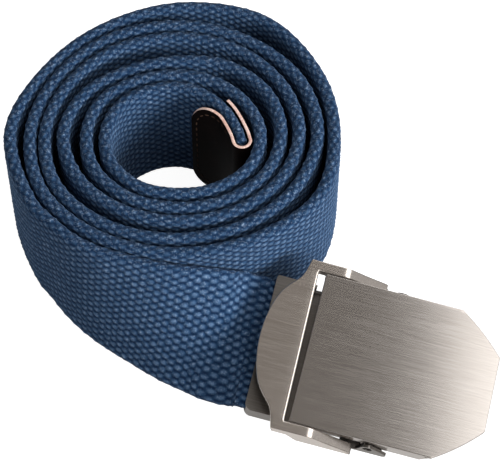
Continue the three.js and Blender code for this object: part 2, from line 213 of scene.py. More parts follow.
class EffectGroup:
    """A shader node group that several finishes share, built once.

    Its sockets are given as (name, socket kind) pairs, and build draws what lies between them.
    """

    name = ""
    ins: tuple[tuple[str, str], ...] = ()
    outs: tuple[tuple[str, str], ...] = ()

    def tree(self) -> bpy.types.NodeTree:
        """The group's tree, made at the first call."""
        if self.name in bpy.data.node_groups:
            return bpy.data.node_groups[self.name]
        tree = bpy.data.node_groups.new(self.name, "ShaderNodeTree")
        for name, kind in self.ins:
            tree.interface.new_socket(name=name, in_out="INPUT", socket_type=kind)
        for name, kind in self.outs:
            tree.interface.new_socket(name=name, in_out="OUTPUT", socket_type=kind)
        sheet = NodeSheet(tree)
        entry = sheet.add("NodeGroupInput")
        leave = sheet.add("NodeGroupOutput")
        for name, value in self.build(sheet, entry.outputs).items():
            sheet.link(value, leave.inputs[name])
        return tree

    def build(self, sheet: NodeSheet, given: object) -> dict[str, object]:
        """Draws the effect and returns its outputs by name."""
        raise NotImplementedError

    def use(self, sheet: NodeSheet, **values: object) -> object:
        """Places the group in a tree, with values for its inputs, and returns its outputs."""
        node = sheet.add("ShaderNodeGroup", node_tree=self.tree())
        for name, value in values.items():
            sheet.feed(node.inputs[name], value)
        return node.outputs


class WovenRelief(EffectGroup):
    """Staggered yarn bumps of a thick webbing, from a map that counts columns along and half rows across.

    A bump's middle is where both counts are whole and their sum is even. Edge is 1 on the webbing's
    two narrow sides, where only one row of small bumps stands out, and Row is the distance to that row.
    """

    name = "woven relief"
    ins = (("Map", "NodeSocketVector"), ("Place", "NodeSocketVector"),
           ("Edge", "NodeSocketFloat"), ("Row", "NodeSocketFloat"))
    outs = (("Height", "NodeSocketFloat"), ("Crown", "NodeSocketFloat"),
            ("Yarn", "NodeSocketFloat"), ("Fleck", "NodeSocketFloat"))
    drift_scale = 420.0
    drift_reach = (0.4, 0.6, 0.0)
    bump_reach = (0.43, 0.82)
    least_size = 0.9
    size_spread = 0.2
    edge_height = 0.65
    fuzz_scale = 1700.0
    fibre_height = 0.6

    def counts(self, sheet: NodeSheet, given: object) -> tuple[object, object]:
        """The map's two counts, drifting a little so that no two bumps are quite alike."""
        drift = sheet.add("ShaderNodeTexNoise")
        sheet.link(given["Place"], drift.inputs["Vector"])
        set_values(drift, {"Scale": self.drift_scale, "Detail": 1.0})
        centred = sheet.vector("SUBTRACT", drift.outputs["Color"], (0.5, 0.5, 0.5))
        spread = sheet.vector("MULTIPLY", centred, self.drift_reach)
        parts = sheet.split(sheet.vector("ADD", given["Map"], spread))
        return parts["X"], parts["Y"]

    def nearest_bump(self, sheet: NodeSheet, along: object, across: object) -> tuple[object, object]:
        """The distance from the nearest bump's middle, about 1 at its rim, and the bump's random tone."""
        cells, offsets = [], []
        for turn in (sheet.plus, sheet.minus):
            diagonal = sheet.times(turn(along, across), 0.5)
            cells.append(sheet.math("ROUND", diagonal))
            offsets.append(sheet.minus(diagonal, cells[-1]))
        tone = sheet.add("ShaderNodeTexWhiteNoise", noise_dimensions="3D")
        sheet.link(sheet.combine(*cells), tone.inputs["Vector"])
        reach_along, reach_across = self.bump_reach
        reach = sheet.combine(sheet.math("DIVIDE", sheet.plus(*offsets), reach_along),
                              sheet.math("DIVIDE", sheet.minus(*offsets), reach_across))
        radius = sheet.add("ShaderNodeVectorMath", operation="LENGTH")
        sheet.link(reach, radius.inputs[0])
        uneven = sheet.plus(self.least_size, sheet.times(tone.outputs["Value"], self.size_spread))
        return sheet.times(radius.outputs["Value"], uneven), tone.outputs["Value"]

    def build(self, sheet: NodeSheet, given: object) -> dict[str, object]:
        """A round dome for each bump, fibres lying across it, a tone for each bump and small pale flecks."""
        along, across = self.counts(sheet, given)
        spot, tone = self.nearest_bump(sheet, along, across)
        wave = sheet.times(*(sheet.math("COSINE", sheet.times(count, math.pi)) for count in (along, across)))
        on_face = sheet.plus(sheet.ramp(spot, 0.0, 1.5, 0.45, 0.0), sheet.times(sheet.plus(wave, 1.0), 0.26))
        beads = sheet.times(sheet.ramp(spot, 0.1, 0.7, 0.35, 0.0), sheet.ramp(given["Row"], 0.4, 0.8, 1.0, 0.0))
        on_edge = sheet.plus(sheet.times(on_face, self.edge_height), beads)
        crown = sheet.plus(sheet.times(on_face, sheet.minus(1.0, given["Edge"])),
                           sheet.times(on_edge, given["Edge"]))
        strand = sheet.combine(sheet.plus(sheet.times(along, 5.0), sheet.times(across, 2.5)),
                               sheet.minus(sheet.times(across, 0.9), sheet.times(along, 0.6)),
                               sheet.times(tone, 9.0))
        fibre = sheet.noise(strand, 1.0, 2.0)
        fuzz = sheet.noise(given["Place"], self.fuzz_scale, 3.0, 0.7)
        height = sheet.plus(crown, sheet.times(sheet.plus(fibre, fuzz), self.fibre_height))
        shade = sheet.plus(sheet.times(tone, 0.6), sheet.times(fibre, 0.8))
        return {"Height": height, "Crown": crown, "Yarn": shade, "Fleck": sheet.ramp(fuzz, 0.52, 0.68)}


class BrushedGrain(EffectGroup):
    """Fine parallel brush lines along X of the buckle's own millimetre axes."""

    name = "brushed grain"
    ins = (("Place", "NodeSocketVector"),)
    outs = (("Height", "NodeSocketFloat"), ("Tone", "NodeSocketFloat"))
    streaks = ((0.12, 8.0, 8.0), (0.045, 4.2, 4.2), (0.03, 2.2, 2.2))

    def build(self, sheet: NodeSheet, given: object) -> dict[str, object]:
        """Long thin streaks at three widths."""
        fine, middle, broad = (sheet.noise(sheet.vector("MULTIPLY", given["Place"], scale), 1.0, 2.0, 0.6)
                               for scale in self.streaks)
        tone = sheet.plus(sheet.times(sheet.plus(fine, middle), 0.42), sheet.times(broad, 0.16))
        return {"Height": sheet.plus(middle, sheet.times(fine, 0.4)),
                "Tone": sheet.ramp(tone, 0.36, 0.64)}


WOVEN = WovenRelief()
GRAIN = BrushedGrain()


def new_material(name: str) -> tuple[bpy.types.Material, NodeSheet, bpy.types.Node]:
    """A material with its node sheet and its Principled shader."""
    material = bpy.data.materials.new(name)
    material.use_nodes = True
    sheet = NodeSheet(material.node_tree)
    return material, sheet, material.node_tree.nodes["Principled BSDF"]


def add_bump(sheet: NodeSheet, shader: bpy.types.Node, height: object,
             strength: float, distance: float) -> None:
    """Feeds a height to a shader's normal through a Bump node."""
    bump = sheet.add("ShaderNodeBump")
    set_values(bump, {"Strength": strength, "Distance": distance})
    sheet.link(height, bump.inputs["Height"])
    sheet.link(bump.outputs["Normal"], shader.inputs["Normal"])


@dataclass(frozen=True)
class WebbingFinish:
    """Thick navy cotton webbing with paler crowns on its yarns, partly the yarn's own paler colour and partly a
    painted highlight, and painted shade in the valleys between the yarns.
    """

    # Painted shade: the dark colour laid into the valleys between the yarn bumps.
    valley_shade: Colour = linear(14, 36, 66)
    body: Colour = linear(40, 68, 100)
    # Partly the yarn's paler colour and partly a painted highlight on the yarn crowns.
    crown: Colour = linear(82, 108, 140)
    fleck: Colour = linear(158, 178, 204)
    relief: float = 0.5 * MM
    rows: int = 35
    edge_row: float = 33.0
    worn_scale: float = 380.0

    def make(self) -> bpy.types.Material:
        """The material, reading the map named weave."""
        material, sheet, shader = new_material("navy webbing")
        place = sheet.place(Space.OBJECT)
        chart = sheet.place(Space.UV, "weave")
        row = sheet.math("PINGPONG", sheet.minus(sheet.split(chart)["Y"], self.edge_row), self.rows / 2)
        edge = sheet.ramp(row, 1.3, 2.3, 1.0, 0.0)
        weave = WOVEN.use(sheet, Map=chart, Place=place, Edge=edge, Row=row)
        worn = sheet.noise(place, self.worn_scale, 4.0, 0.65)
        # Where a bump's crown is low, the colour falls to the painted valley shade.
        depth = sheet.plus(sheet.ramp(weave["Crown"], 0.0, 0.5), sheet.times(edge, 0.15), clamp=True)
        base = sheet.mix(depth, self.valley_shade, self.body)
        # The crowns get a paler colour, scaled by the yarn tone and the worn noise. This is partly paler yarn
        # and partly a painted highlight.
        wear = sheet.plus(sheet.times(weave["Yarn"], 0.8), sheet.ramp(worn, 0.3, 0.7, -0.2, 1.0))
        light = sheet.times(sheet.ramp(weave["Crown"], 0.3, 1.0), wear, clamp=True)
        raised = sheet.mix(light, base, self.crown)
        share = sheet.plus(sheet.times(weave["Crown"], 0.5), sheet.times(edge, 0.25))
        flecked = sheet.mix(sheet.times(weave["Fleck"], share), raised, self.fleck)
        sheet.link(flecked, shader.inputs["Base Color"])
        set_values(shader, {"Roughness": 0.85, "Specular IOR Level": 0.12, "Sheen Weight": 0.08,
                            "Sheen Roughness": 0.5, "Sheen Tint": (0.6, 0.75, 1.0, 1.0)})
        add_bump(sheet, shader, weave["Height"], 0.9, self.relief)
        return material


@dataclass(frozen=True)
class LeatherFinish:
    """Smooth dark leather, or its pale cut edge."""

    name: str
    dark: Colour
    light: Colour
    roughness: float
    shine: float = 0.05
    grain_scale: float = 1300.0
    cloud_scale: float = 160.0
    relief: float = 0.12 * MM

    def make(self) -> bpy.types.Material:
        """The material, with fine creases."""
        material, sheet, shader = new_material(self.name)
        place = sheet.place(Space.OBJECT)
        grain = sheet.noise(place, self.grain_scale, 3.0, 0.6)
        cloud = sheet.noise(place, self.cloud_scale, 2.0)
        tone = sheet.ramp(sheet.plus(sheet.times(grain, 0.5), sheet.times(cloud, 0.5)), 0.35, 0.65)
        sheet.link(sheet.mix(tone, self.dark, self.light), shader.inputs["Base Color"])
        set_values(shader, {"Specular IOR Level": self.shine, "Roughness": self.roughness})
        add_bump(sheet, shader, grain, 0.35, self.relief)
        return material


LEATHER = LeatherFinish("dark leather", linear(4, 2, 2), linear(17, 9, 8), 0.6)
CUT_EDGE = LeatherFinish("leather cut edge", linear(208, 162, 148), linear(250, 222, 210), 0.7)
THREAD = LeatherFinish("brown thread", linear(52, 36, 30), linear(104, 82, 70), 0.8)


@dataclass
class BuckleAxes:
    """The buckle's own axes: x along it to its free end, y across it, z out of its face."""

    corner: Vector = field(default_factory=lambda: Vector((17.1, -42.44, 20.6)))
    yaw: float = -11.8
    pitch: float = -9.0
    roll: float = 75.0

    def matrix(self) -> Matrix:
        """Turns the buckle's own millimetres into the row frame's."""
        yaw, pitch, roll = (math.radians(angle) for angle in (self.yaw, self.pitch, self.roll))
        along = Vector((math.cos(pitch) * math.cos(yaw), math.cos(pitch) * math.sin(yaw), math.sin(pitch)))
        to_front = Vector((math.sin(yaw), -math.cos(yaw), 0.0))
        upward = to_front.cross(along)
        if upward.z < 0.0:
            upward.negate()
        face = to_front * math.cos(roll) + upward * math.sin(roll)
        across = face.cross(along)
        turn = Matrix((along, across, face)).transposed().to_4x4()
        return Matrix.Translation(self.corner) @ turn


@dataclass(frozen=True)
class BrushedFinish:
    """Brushed nickel plate. The brush lines lie along the buckle."""

    name: str
    dark: Colour
    light: Colour
    smooth: float
    rough: float
    stretch: float = 0.8
    relief: float = 0.0007 * MM
    slot: str = "brushed_plate"

    def make(self, axes: BuckleAxes) -> bpy.types.Material:
        """The material.

        Args:
            axes: the buckle's own axes, which its brush lines follow.

        Returns:
            The material, with streaks in its colour, gloss and bump, and its gloss drawn out across them.
        """
        material, sheet, shader = new_material(self.name)
        to_buckle = (Matrix.Scale(MM, 4) @ axes.matrix() @ Matrix.Scale(1 / MM, 4)).inverted()
        turned = sheet.add("ShaderNodeMapping", vector_type="POINT")
        sheet.link(sheet.place(Space.OBJECT), turned.inputs["Vector"])
        set_values(turned, {"Location": to_buckle.to_translation(), "Rotation": to_buckle.to_euler("XYZ")})
        place = sheet.vector("MULTIPLY", turned.outputs["Vector"], (1 / MM, 1 / MM, 1 / MM))
        grain = GRAIN.use(sheet, Place=place)
        sheet.link(sheet.mix(grain["Tone"], self.dark, self.light), shader.inputs["Base Color"])
        sheet.link(sheet.ramp(grain["Tone"], 0.0, 1.0, self.smooth, self.rough), shader.inputs["Roughness"])
        set_values(shader, {"Metallic": 1.0, "Anisotropic": self.stretch})
        lines = sheet.add("ShaderNodeTangent", direction_type="UV_MAP", uv_map="brush")
        sheet.link(lines.outputs["Tangent"], shader.inputs["Tangent"])
        add_bump(sheet, shader, grain["Height"], 1.0, self.relief)
        return material


COVER_METAL = BrushedFinish("brushed cover", linear(184, 176, 169), linear(202, 195, 189), 0.18, 0.205)
# Painted light: the frame's base is lighter than the cover's. It stands in for the brighter light that the
# crest catches at its slightly different tilt.
FRAME_METAL_PAINTED_LIGHTER = BrushedFinish("brushed frame", linear(212, 202, 193), linear(230, 220, 211), 0.19, 0.23)
BOX_METAL = BrushedFinish("grey box", linear(136, 131, 126), linear(156, 151, 146), 0.3, 0.36,
                          slot="grey_steel")
# Painted shade: the pin is given a darker base than the box's grey steel. This stands in for the shade in the
# recess round its ends.
PIN_METAL_PAINTED_DARK = BrushedFinish("grey pin", linear(76, 73, 70), linear(98, 94, 90), 0.45, 0.55, stretch=0.0,
                          slot="grey_steel")


@dataclass
class WebbingLine:
    """The webbing's middle line from the buckle to the middle of the coil, as in the model.

    Each row of run is a place from the coil's middle along X and Y, the lean in degrees and the lift.
    Each row of turns is one turn of the coil, with a radius for every step round it.
    """

    axes: BuckleAxes
    width: float = 38.0
    thickness: float = 3.6
    tip_thickness: float = 3.0
    tip_taper: float = 30.0
    coil: tuple[float, float] = (-21.0, 20.46)
    strap_depth: float = 9.3
    strap_end: float = -3.5
    entry_x: float = -14.2
    entry_turn: float = 3.0
    entry_lean: float = 68.5
    run: tuple[tuple[float, float, float, float], ...] = (
        (14.4, -56.3, 48.5, 1.6), (8.5, -55.2, 37.5, 0.5), (2.7, -54.1, 29.5, 0.1),
        (-3.1, -52.6, 22.5, 0.0), (-9.1, -50.4, 17.0, 0.0), (-15.4, -47.6, 12.5, 0.0),
        (-21.8, -44.2, 8.0, 0.0), (-28.8, -38.8, 3.8, 0.0), (-35.0, -31.8, 1.2, 0.0), (-40.0, -25.3, 0.0, 0.0),
    )
    turns: tuple[tuple[float | None, ...], ...] = (
        (None, None, None, None, None, 47.6, 45.1, 45.8, 48.5, 50.4, 47.3, 46.0),
        (46.5, 42.9, 42.0, 42.3, 42.8, 41.7, 40.8, 41.3, 41.3, 40.9, 41.3, 41.2),
        (39.6, 38.0, 37.4, 37.9, 38.5, 37.5, 36.4, 36.6, 36.5, 36.2, 35.8, 35.9),
        (34.8, 33.1, 31.6, 31.3, 31.9, 32.2, 30.2, 27.4, 27.2, 29.4, 30.5, 30.6),
        (30.1, 28.5, 26.9, 26.6, 26.4, 25.5, 24.6, 22.6, 21.8, 22.1, 23.0, 24.6),
        (24.95, 23.4, 22.0, 21.8, 21.2, 20.0, 19.1, 17.9, 17.1, 16.4, 16.5, 18.3),
    )
    turn_leans: tuple[tuple[float, ...], ...] = ((), (-2.0, -4.0, -2.0), (-1.0, -2.0, -1.0))
    first_direction: int = 330
    direction_step: int = 30
    end: tuple[float, float] = (19.3, -3.6)

    def __post_init__(self) -> None:
        """Works out the rows and the length along them."""
        self.points, self.leans = self._rows()
        self.places = np.linspace(0.0, 1.0, 4001)
        track = self._curve(self.places)
        self.lengths = np.concatenate(([0.0], np.cumsum(np.linalg.norm(np.diff(track, axis=0), axis=1))))
        self.length = float(self.lengths[-1])

    def _rows(self) -> tuple[np.ndarray, np.ndarray]:
        """Places that the line goes through, in millimetres, and the lean at each."""
        matrix = self.axes.matrix()
        in_box = (self.strap_end, (self.strap_end + self.entry_x) / 2,
                  self.entry_x, self.entry_x - self.entry_turn)
        points = [tuple(matrix @ Vector((x, 0.0, -self.strap_depth))) for x in in_box]
        leans = [self.axes.roll] * 3 + [self.entry_lean]
        for x, y, lean, lift in self.run:
            turn = math.radians(lean)
            height = lift + self.width / 2 * math.cos(turn) + self.thickness / 2 * math.sin(turn)
            points.append((self.coil[0] + x, self.coil[1] + y, height))
            leans.append(lean)
        for number, radii in enumerate(self.turns):
            tilts = self.turn_leans[number] if number < len(self.turn_leans) else ()
            for column, radius in enumerate(radii):
                if radius is None:
                    continue
                direction = math.radians(self.first_direction - self.direction_step * column)
                points.append((self.coil[0] + radius * math.cos(direction),
                               self.coil[1] + radius * math.sin(direction), self.width / 2))
                leans.append(tilts[column] if column < len(tilts) else 0.0)
        points.append((self.coil[0] + self.end[0], self.coil[1] + self.end[1], self.width / 2))
        leans.append(0.0)
        return np.array(points), np.array(leans)

    def _curve(self, places: np.ndarray) -> np.ndarray:
        """Points of the centripetal curve through the rows, for places from 0 to 1."""
        rows = self.points
        count = len(rows)
        padded = np.vstack((2 * rows[0] - rows[1], rows, 2 * rows[-1] - rows[-2]))
        spot = places * (count - 1)
        first = np.minimum(spot.astype(int), count - 2)
        share = (spot - first)[:, None]
        p0, p1, p2, p3 = (padded[first + shift] for shift in range(4))
        spans = [np.linalg.norm(b - a, axis=1)[:, None] ** 0.5 for a, b in ((p0, p1), (p1, p2), (p2, p3))]
        d0, d1, d2 = spans
        leave = ((p1 - p0) / d0 - (p2 - p0) / (d0 + d1) + (p2 - p1) / d1) * d1
        reach = ((p2 - p1) / d1 - (p3 - p1) / (d1 + d2) + (p3 - p2) / d2) * d1
        square = -3 * p1 + 3 * p2 - 2 * leave - reach
        cube = 2 * p1 - 2 * p2 + leave + reach
        return p1 + leave * share + square * share ** 2 + cube * share ** 3

    def sections(self, distances: np.ndarray) -> dict[str, np.ndarray]:
        """Middle points, directions and thickness at distances from the buckle.

        Args:
            distances: in millimetres.

        Returns:
            Arrays named point, along, across, outward and thickness, in millimetres.
        """
        places = np.interp(distances, self.lengths, self.places)
        step = 1e-4
        before = self._curve(np.clip(places - step, 0.0, 1.0))
        after = self._curve(np.clip(places + step, 0.0, 1.0))
        along = after - before
        along /= np.linalg.norm(along, axis=1)[:, None]
        outward_level = np.stack((-along[:, 1], along[:, 0], np.zeros(len(along))), axis=1)
        outward_level /= np.linalg.norm(outward_level, axis=1)[:, None]
        upward = np.array((0.0, 0.0, 1.0)) - along * along[:, 2:3]
        upward /= np.linalg.norm(upward, axis=1)[:, None]
        spot = places * (len(self.leans) - 1)
        lean = np.radians(np.interp(spot, np.arange(len(self.leans)), self.leans))[:, None]
        across = upward * np.cos(lean) - outward_level * np.sin(lean)
        outward = np.cross(across, along)
        thin = smoothstep(distances, self.length - self.tip_taper, self.length)
        thickness = self.thickness + (self.tip_thickness - self.thickness) * thin
        return {"point": self._curve(places), "along": along, "across": across, "outward": outward,
                "thickness": thickness}


@dataclass
class Webbing:
    """The rolled webbing: a rounded section swept along its line, with its yarns raised."""

    line: WebbingLine
    column: float = 2.05
    rows: int = 35
    corner: float = 0.9
    crest: float = 0.22
    trough: float = 0.12
    groove: float = 0.12
    edge_rows: int = 5
    edge_share: float = 0.5
    uneven_share: float = 0.25
    scatter: float = 0.1
    seed: int = 4

    def outline(self) -> tuple[np.ndarray, np.ndarray]:
        """Points round the section and the outward direction at each, as (outward, across) pairs."""
        flat_face = self.line.width - 2 * self.corner
        flat_edge = self.line.thickness - 2 * self.corner
        arc = math.pi * self.corner / 2
        half_x, half_y = flat_edge / 2, flat_face / 2
        around = np.arange(2 * self.rows) / (2 * self.rows) * (2 * flat_face + 2 * flat_edge + 4 * arc)
        points, normals = [], []
        sides = (
            (flat_face, (half_x + self.corner, -half_y), (0.0, 1.0), 0.0),
            (flat_edge, (half_x, half_y + self.corner), (-1.0, 0.0), math.pi / 2),
            (flat_face, (-half_x - self.corner, half_y), (0.0, -1.0), math.pi),
            (flat_edge, (-half_x, -half_y - self.corner), (1.0, 0.0), 1.5 * math.pi),
        )
        corners = ((half_x, half_y), (-half_x, half_y), (-half_x, -half_y), (half_x, -half_y))
        for distance in around:
            for (length, start, heading, facing), middle in zip(sides, corners):
                if distance < length:
                    points.append((start[0] + heading[0] * distance, start[1] + heading[1] * distance))
                    normals.append((math.cos(facing), math.sin(facing)))
                    break
                distance -= length
                if distance < arc:
                    turn = facing + distance / self.corner
                    points.append((middle[0] + self.corner * math.cos(turn),
                                   middle[1] + self.corner * math.sin(turn)))
                    normals.append((math.cos(turn), math.sin(turn)))
                    break
                distance -= arc
        return np.array(points), np.array(normals)

    def lift(self, half_column: int, side: int, uneven: float) -> float:
        """How far the weave stands out of the section at a half column and a half row."""
        lift = -self.groove
        if half_column % 2 == 0:
            lift = self.crest if (half_column // 2 + side) % 2 == 0 else -self.trough
        lift *= 1.0 + self.uneven_share * uneven
        if side % self.rows > self.rows - self.edge_rows or side % self.rows == 0:
            lift *= self.edge_share
        return lift

    def build(self) -> bpy.types.Object:
        """The mesh: a grid rolled round the section along the line, welded along it, with its ends filled."""
        steps = 2 * round(self.line.length / self.column)
        around = 2 * self.rows
        outline, normals = self.outline()
        scattered = np.random.default_rng(self.seed).uniform(-1.0, 1.0, (3, steps + 1, around))
        distances = np.linspace(0.0, self.line.length, steps + 1)
        sections = self.line.sections(distances)
        scale = sections["thickness"] / self.line.thickness
        bm = bmesh.new()
        uv = bm.loops.layers.uv.new("weave")
        bmesh.ops.create_grid(bm, x_segments=steps, y_segments=around, size=1.0)
        place = {}
        for vertex in bm.verts:
            i = round((vertex.co.x + 1) / 2 * steps)
            j = round((vertex.co.y + 1) / 2 * around)
            place[vertex] = (i, j)
            side = j % around
            uneven, shift, slide = scattered[:, i, side]
            lift = self.lift(i, side, uneven)
            slide *= self.scatter
            outward = outline[side, 0] * scale[i] + normals[side, 0] * lift - normals[side, 1] * slide
            across = outline[side, 1] + normals[side, 1] * lift + normals[side, 0] * slide
            spot = sections["point"][i] + sections["outward"][i] * outward + sections["across"][i] * across
            if 0 < i < steps:
                spot = spot + sections["along"][i] * shift * self.scatter
            spot[2] = max(spot[2], 0.0)
            vertex.co = Vector(spot) * MM
        for face in bm.faces:
            for loop in face.loops:
                i, j = place[loop.vert]
                loop[uv].uv = (i / 2, j)
        seam = [vertex for vertex in bm.verts if place[vertex][1] in (0, around)]
        bmesh.ops.remove_doubles(bm, verts=seam[::-1], dist=1e-6)
        bmesh.ops.holes_fill(bm, edges=[edge for edge in bm.edges if edge.is_boundary], sides=0)
        piece = finish_mesh(bm, "woven_webbing")
        piece.data.materials.append(WebbingFinish().make())
        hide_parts("webbing_strap")
        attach(piece, Body.BELT.value)
        return piece


@dataclass
class LeatherTip:
    """The leather folded over the webbing's end, with a pale cut edge and a row of small stitches."""

    line: WebbingLine
    thickness: float = 1.0
    height: float = 37.4
    seat: float = 0.45
    inner_flap: float = 23.0
    outer_flap: float = 15.0
    flap_radius: float = 9.0
    lift_off: float = 2.4
    lift_length: float = 13.0
    step: float = 0.5
    rows: int = 44
    blunt_end: float = 0.4
    rounding: float = 0.2
    seam_inset: float = 2.2
    seam_straight: float = 10.0
    stitch_pitch: float = 2.5
    stitch_length: float = 1.5
    stitch_width: float = 0.44
    stitch_height: float = 0.28

    def track(self) -> tuple[np.ndarray, np.ndarray]:
        """Middle of the leather along the fold, and the distance from the round end at each point."""
        seat = self.seat + self.thickness / 2
        reach = self.line.tip_thickness / 2 + seat
        backs = np.arange(self.inner_flap, 0.0, -self.step)
        inner = self.line.sections(self.line.length - backs)
        lift = self.lift_off * smoothstep(backs, self.inner_flap - self.lift_length, self.inner_flap)
        side = inner["thickness"] / 2 + seat + lift
        first = inner["point"] - inner["outward"] * side[:, None]
        tip = self.line.sections(np.array([self.line.length]))
        angles = np.linspace(0.0, math.pi, 25)[:, None]
        bend = tip["point"] + reach * (tip["along"] * np.sin(angles) - tip["outward"] * np.cos(angles))
        outs = np.arange(self.step, self.outer_flap + self.step / 2, self.step)
        outer = self.line.sections(self.line.length - outs)
        last = outer["point"] + outer["outward"] * (outer["thickness"] / 2 + seat)[:, None]
        rounds = np.concatenate((self.inner_flap - backs, np.full(len(bend) + len(last), self.flap_radius)))
        return np.vstack((first, bend, last)), rounds

    def build(self) -> bpy.types.Object:
        """The mesh: a grid folded along the track, given its thickness, with a rounded flap."""
        track, rounds = self.track()
        steps = len(track) - 1
        bm = bmesh.new()
        bmesh.ops.create_grid(bm, x_segments=steps, y_segments=self.rows, size=1.0)
        for vertex in bm.verts:
            i = round((vertex.co.x + 1) / 2 * steps)
            across = (vertex.co.y + 1) / 2 - 0.5
            inset = self.flap_radius - min(rounds[i] + self.blunt_end, self.flap_radius)
            cut = self.flap_radius - math.sqrt(self.flap_radius ** 2 - inset ** 2)
            up = across * (self.height - 2 * cut) + self.line.width / 2
            vertex.co = Vector((track[i, 0], track[i, 1], up)) * MM
        piece = finish_mesh(bm, "folded_leather_tip")
        wall = piece.modifiers.new("wall", "SOLIDIFY")
        wall.thickness = self.thickness * MM
        wall.offset = 0.0
        wall.material_offset_rim = 1
        edge = piece.modifiers.new("edge", "BEVEL")
        edge.width = self.rounding * MM
        edge.segments = 2
        edge.limit_method = "ANGLE"
        edge.angle_limit = math.radians(50)
        for finish in (LEATHER, CUT_EDGE):
            piece.data.materials.append(finish.make())
        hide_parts("leather_tip")
        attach(piece, Body.BELT.value)
        return piece

    def seam(self) -> list[tuple[float, float]]:
        """Where the stitches lie on the inner flap, as pairs of distance from its end and height."""
        inset, half = self.seam_inset, self.height / 2 - self.seam_inset
        radius = self.flap_radius - inset
        top = [(self.flap_radius + self.seam_straight, half), (self.flap_radius, half)]
        turn = [(self.flap_radius - radius * math.sin(angle), half - radius + radius * math.cos(angle))
                for angle in np.linspace(0.0, math.pi / 2, 13)[1:]]
        upper = np.array(top + turn)
        track = np.vstack((upper, upper[::-1] * (1.0, -1.0)))
        lengths = np.concatenate(([0.0], np.cumsum(np.linalg.norm(np.diff(track, axis=0), axis=1))))
        places = np.arange(self.stitch_pitch, lengths[-1], self.stitch_pitch)
        return [(float(np.interp(place, lengths, track[:, 0])), float(np.interp(place, lengths, track[:, 1])))
                for place in places]

    def stitches(self) -> bpy.types.Object:
        """The small stitches round the inner flap: a squashed round bead for each."""
        track, rounds = self.track()
        count = round(self.inner_flap / self.step)
        spots = self.seam()
        half_size = (self.stitch_length / 2, self.stitch_width / 2, self.stitch_height / 2)
        bm = bmesh.new()
        for number, (distance, up) in enumerate(spots):
            here, there = (np.array([np.interp(distance + shift, rounds[:count], track[:count, axis])
                                     for axis in (0, 1)]) for shift in (0.0, 0.2))
            along = Vector((*(there - here), 0.0)).normalized()
            outward = Vector((0.0, 0.0, 1.0)).cross(along)
            middle = Vector((*here, up + self.line.width / 2)) - outward * self.thickness / 2
            before, after = spots[max(number - 1, 0)], spots[min(number + 1, len(spots) - 1)]
            heading = (along * (after[0] - before[0]) + Vector((0.0, 0.0, after[1] - before[1]))).normalized()
            turn = Matrix((heading, outward.cross(heading), outward)).transposed().to_4x4()
            size = Matrix.Diagonal((*half_size, 1.0))
            place = Matrix.Scale(MM, 4) @ Matrix.Translation(middle) @ turn @ size
            bmesh.ops.create_uvsphere(bm, u_segments=10, v_segments=6, radius=1.0, matrix=place)
        piece = finish_mesh(bm, "tip_stitches")
        piece.data.materials.append(THREAD.make())
        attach(piece, Body.BELT.value)
        return piece


def ring(middle: tuple[float, float], radius: float, count: int = 24) -> Outline:
    """Points round a circle."""
    return [(middle[0] + radius * math.cos(angle), middle[1] + radius * math.sin(angle))
            for angle in np.linspace(0.0, 2 * math.pi, count, endpoint=False)]


@dataclass
class SheetMetal:
    """Sheet metal that is cut, drawn and folded in the buckle's own millimetre axes."""

    axes: BuckleAxes
    bm: bmesh.types.BMesh = field(default_factory=bmesh.new)

    def sheet(self, points: Outline, height: float) -> None:
        """A flat face from its outline at a height."""
        self.bm.faces.new([self.bm.verts.new((x, y, height)) for x, y in points])

    def crease(self, spot: Place, normal: Place) -> None:
        """Edges where a plane crosses what is there."""
        bmesh.ops.bisect_plane(self.bm, geom=[*self.bm.verts, *self.bm.edges, *self.bm.faces], dist=FLAT,
                               plane_co=spot, plane_no=normal)

    def extrude(self, faces: list[bmesh.types.BMFace], way: Place) -> list[bmesh.types.BMVert]:
        """Extrudes faces and returns their moved corners."""
        grown = bmesh.ops.extrude_face_region(self.bm, geom=faces)
        moved = [item for item in grown["geom"] if isinstance(item, bmesh.types.BMVert)]
        bmesh.ops.translate(self.bm, verts=moved, vec=way)
        return moved

    def draw_down(self, faces: list[bmesh.types.BMFace], depth: float) -> list[bmesh.types.BMVert]:
        """Draws faces down and returns their moved corners."""
        return self.extrude(faces, (0.0, 0.0, -depth))

    def side_strips(self, height: float, inner: float) -> list[bmesh.types.BMFace]:
        """Level faces at a height that lie farther out across the buckle than inner."""
        return [face for face in self.bm.faces
                if all(abs(vert.co.z - height) < FLAT for vert in face.verts)
                and abs(face.calc_center_median().y) > inner]

    def bar(self, points: Outline, start: float, end: float) -> None:
        """A bar across the buckle from its side view, given as pairs along and height."""
        self.extrude([self.bm.faces.new([self.bm.verts.new((x, start, z)) for x, z in points])],
                     (0.0, end - start, 0.0))

    def soften(self, width: float, angle: float = 35.0) -> None:
        """Rounds the edges that are sharper than an angle in degrees."""
        bmesh.ops.recalc_face_normals(self.bm, faces=self.bm.faces)
        sharp = [edge for edge in self.bm.edges
                 if len(edge.link_faces) == 2 and edge.calc_face_angle() > math.radians(angle)]
        bmesh.ops.bevel(self.bm, geom=sharp, offset=width, offset_type="OFFSET", segments=3, profile=0.5,
                        affect="EDGES", material=-1, clamp_overlap=True)

    def finish(self, name: str, node: str, body: Body, finish: BrushedFinish) -> bpy.types.Object:
        """Sets the metal in place as the piece that stands for a node.

        Args:
            name: the piece's name.
            node: the CAD node that it replaces.
            body: the body that it rides on.
            finish: its finish, whose brush lines follow the map named brush.

        Returns:
            The finished piece.
        """
        uv = self.bm.loops.layers.uv.new("brush")
        for face in self.bm.faces:
            for loop in face.loops:
                x, y, z = loop.vert.co
                loop[uv].uv = ((y + z) / 50.0, x / 50.0)
        bmesh.ops.transform(self.bm, matrix=Matrix.Scale(MM, 4) @ self.axes.matrix(), verts=self.bm.verts)
        piece = finish_mesh(self.bm, name)
        shading = piece.modifiers.new("flat faces", "WEIGHTED_NORMAL")
        shading.keep_sharp = True
        piece.data.materials.append(finish.make(self.axes))
        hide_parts(node)
        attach(piece, body.value)
        return piece


